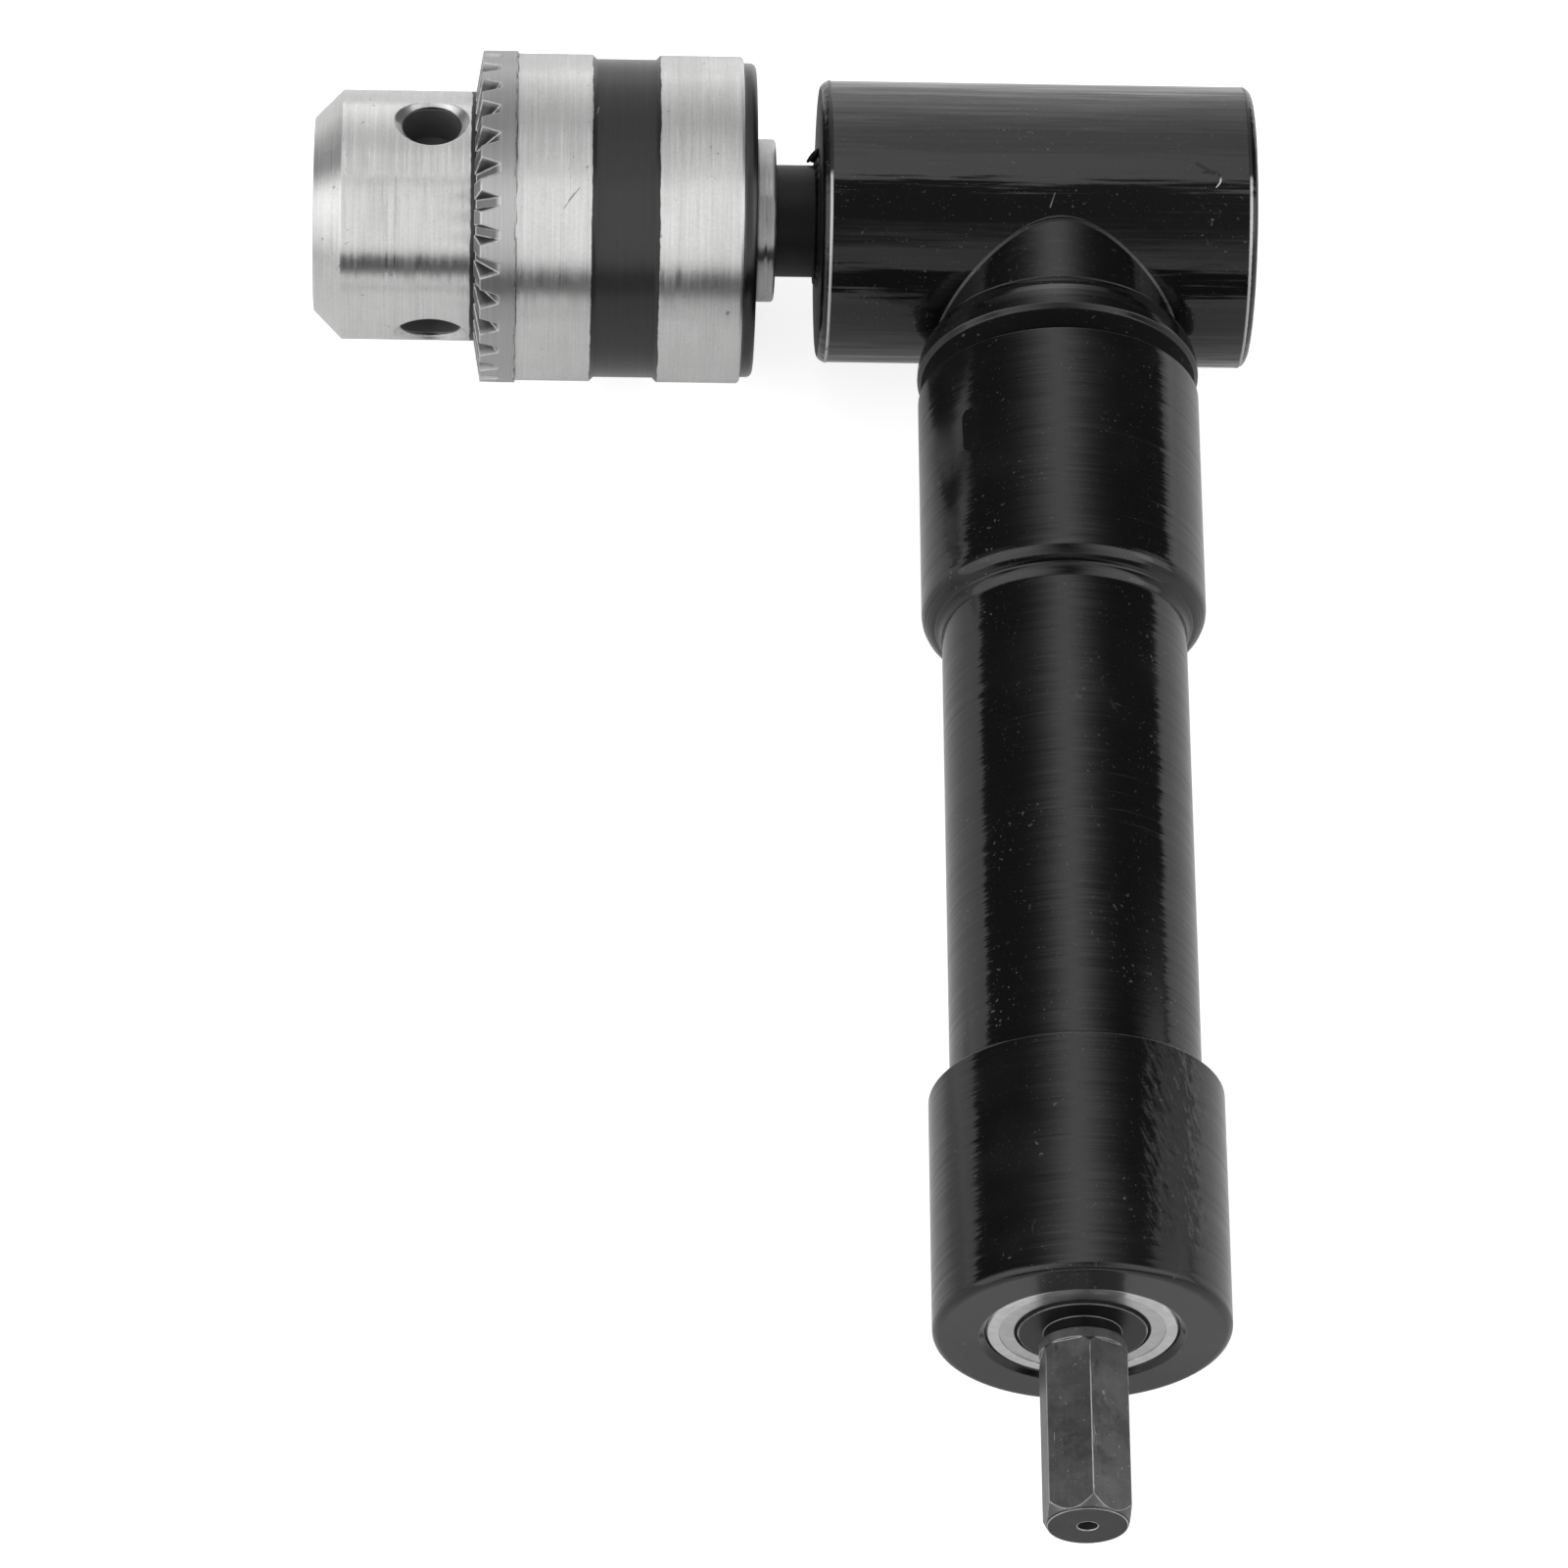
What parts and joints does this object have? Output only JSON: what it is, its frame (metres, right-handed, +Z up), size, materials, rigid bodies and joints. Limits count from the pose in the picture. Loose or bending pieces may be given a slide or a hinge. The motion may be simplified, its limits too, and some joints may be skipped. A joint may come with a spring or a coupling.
{
  "type": "right angle drill attachment",
  "caption": "Right angle drill attachment with a hex drive shank, a long round handle, bevel gears in a T-shaped head and a keyed three-jaw chuck.",
  "frame": {"origin": "centre of the hex shank's end face, on the handle axis", "axes": "+Y up the handle from the shank to the head, -X along the spindle axis out through the chuck, +Z up with the object lying on its side"},
  "size_m": [0.0976, 0.1673, 0.0346],
  "materials": {
    "black_paint": "glossy black enamel",
    "shank_oxide": "dark oxide, worn at the edges",
    "black_oxide": "black oxide",
    "bearing_steel": "ground",
    "gear_steel": "machined",
    "turned_steel": "bright turned",
    "ground_steel": "ground bands, dark groove"
  },
  "bodies": {
    "housing": {"head_housing": "black_paint", "neck_ring": "black_paint", "upper_collar": "black_paint", "grip_tube": "black_paint", "lower_collar": "black_paint", "rear_cap": "black_paint", "rear_cap_ring": "black_oxide", "front_bearing_ring": "black_oxide", "neck_bearing_ring": "black_oxide", "front_bearing_outer": "bearing_steel", "rear_bearing_outer": "bearing_steel", "neck_bearing_outer": "bearing_steel", "shank_bearing_outer": "bearing_steel", "front_bearing_shields": "bearing_steel", "rear_bearing_shields": "bearing_steel", "neck_bearing_shields": "bearing_steel", "shank_bearing_shields": "bearing_steel"},
    "input_shaft": {"input_shaft": "shank_oxide", "bevel_pinion": "gear_steel", "pinion_pin": "gear_steel", "input_circlip": "black_oxide", "neck_bearing_inner": "bearing_steel", "shank_bearing_inner": "bearing_steel"},
    "output_spindle": {"output_spindle": "black_paint", "driven_gear": "gear_steel", "gear_pin": "gear_steel", "spindle_circlip": "black_oxide", "spindle_washer": "turned_steel", "chuck_body": "turned_steel", "front_bearing_inner": "bearing_steel", "rear_bearing_inner": "bearing_steel"},
    "sleeve": {"chuck_sleeve": "ground_steel", "split_nut": "black_oxide"},
    "jaw_1": {"jaw_1": "black_oxide"},
    "jaw_2": {"jaw_2": "black_oxide"},
    "jaw_3": {"jaw_3": "black_oxide"},
    "front_bearing_cage": {"front_bearing_balls": "bearing_steel", "front_bearing_cage": "bearing_steel"},
    "rear_bearing_cage": {"rear_bearing_balls": "bearing_steel", "rear_bearing_cage": "bearing_steel"},
    "neck_bearing_cage": {"neck_bearing_balls": "bearing_steel", "neck_bearing_cage": "bearing_steel"},
    "shank_bearing_cage": {"shank_bearing_balls": "bearing_steel", "shank_bearing_cage": "bearing_steel"}
  },
  "joints": [
    {"name": "output_spin", "type": "hinge", "parent": "housing", "child": "output_spindle", "pos_m": [0, 0.15, 0], "axis": [-1, 0, 0], "continuous": true},
    {"name": "input_spin", "type": "hinge", "parent": "housing", "child": "input_shaft", "pos_m": [0, 0, 0], "axis": [0, -1, 0], "continuous": true},
    {"name": "sleeve_turn", "type": "hinge", "parent": "output_spindle", "child": "sleeve", "pos_m": [0, 0.15, 0], "axis": [-1, 0, 0], "range_deg": [0, 4404]},
    {"name": "front_bearing_cage_spin", "type": "hinge", "parent": "housing", "child": "front_bearing_cage", "pos_m": [0, 0.15, 0], "axis": [-1, 0, 0], "continuous": true},
    {"name": "rear_bearing_cage_spin", "type": "hinge", "parent": "housing", "child": "rear_bearing_cage", "pos_m": [0, 0.15, 0], "axis": [-1, 0, 0], "continuous": true},
    {"name": "neck_bearing_cage_spin", "type": "hinge", "parent": "housing", "child": "neck_bearing_cage", "pos_m": [0, 0.15, 0], "axis": [0, -1, 0], "continuous": true},
    {"name": "shank_bearing_cage_spin", "type": "hinge", "parent": "housing", "child": "shank_bearing_cage", "pos_m": [0, 0.15, 0], "axis": [0, -1, 0], "continuous": true},
    {"name": "jaw_1_slide", "type": "slide", "parent": "output_spindle", "child": "jaw_1", "axis": [-0.9659, -0.25, -0.067], "range_m": [0, 0.01836]},
    {"name": "jaw_2_slide", "type": "slide", "parent": "output_spindle", "child": "jaw_2", "axis": [-0.9659, 0.067, 0.25], "range_m": [0, 0.01836]},
    {"name": "jaw_3_slide", "type": "slide", "parent": "output_spindle", "child": "jaw_3", "axis": [-0.9659, 0.183, -0.183], "range_m": [0, 0.01836]}
  ],
  "couplings": [
    {"joint": "input_spin", "follows": "output_spin", "ratio": -1},
    {"joint": "front_bearing_cage_spin", "follows": "output_spin", "ratio": 0.4133},
    {"joint": "rear_bearing_cage_spin", "follows": "output_spin", "ratio": 0.3757},
    {"joint": "neck_bearing_cage_spin", "follows": "output_spin", "ratio": -0.4193},
    {"joint": "shank_bearing_cage_spin", "follows": "output_spin", "ratio": -0.4193},
    {"joint": "jaw_1_slide", "follows": "sleeve_turn", "m_per_rad": 0.00023873},
    {"joint": "jaw_2_slide", "follows": "sleeve_turn", "m_per_rad": 0.00023873},
    {"joint": "jaw_3_slide", "follows": "sleeve_turn", "m_per_rad": 0.00023873}
  ]
}
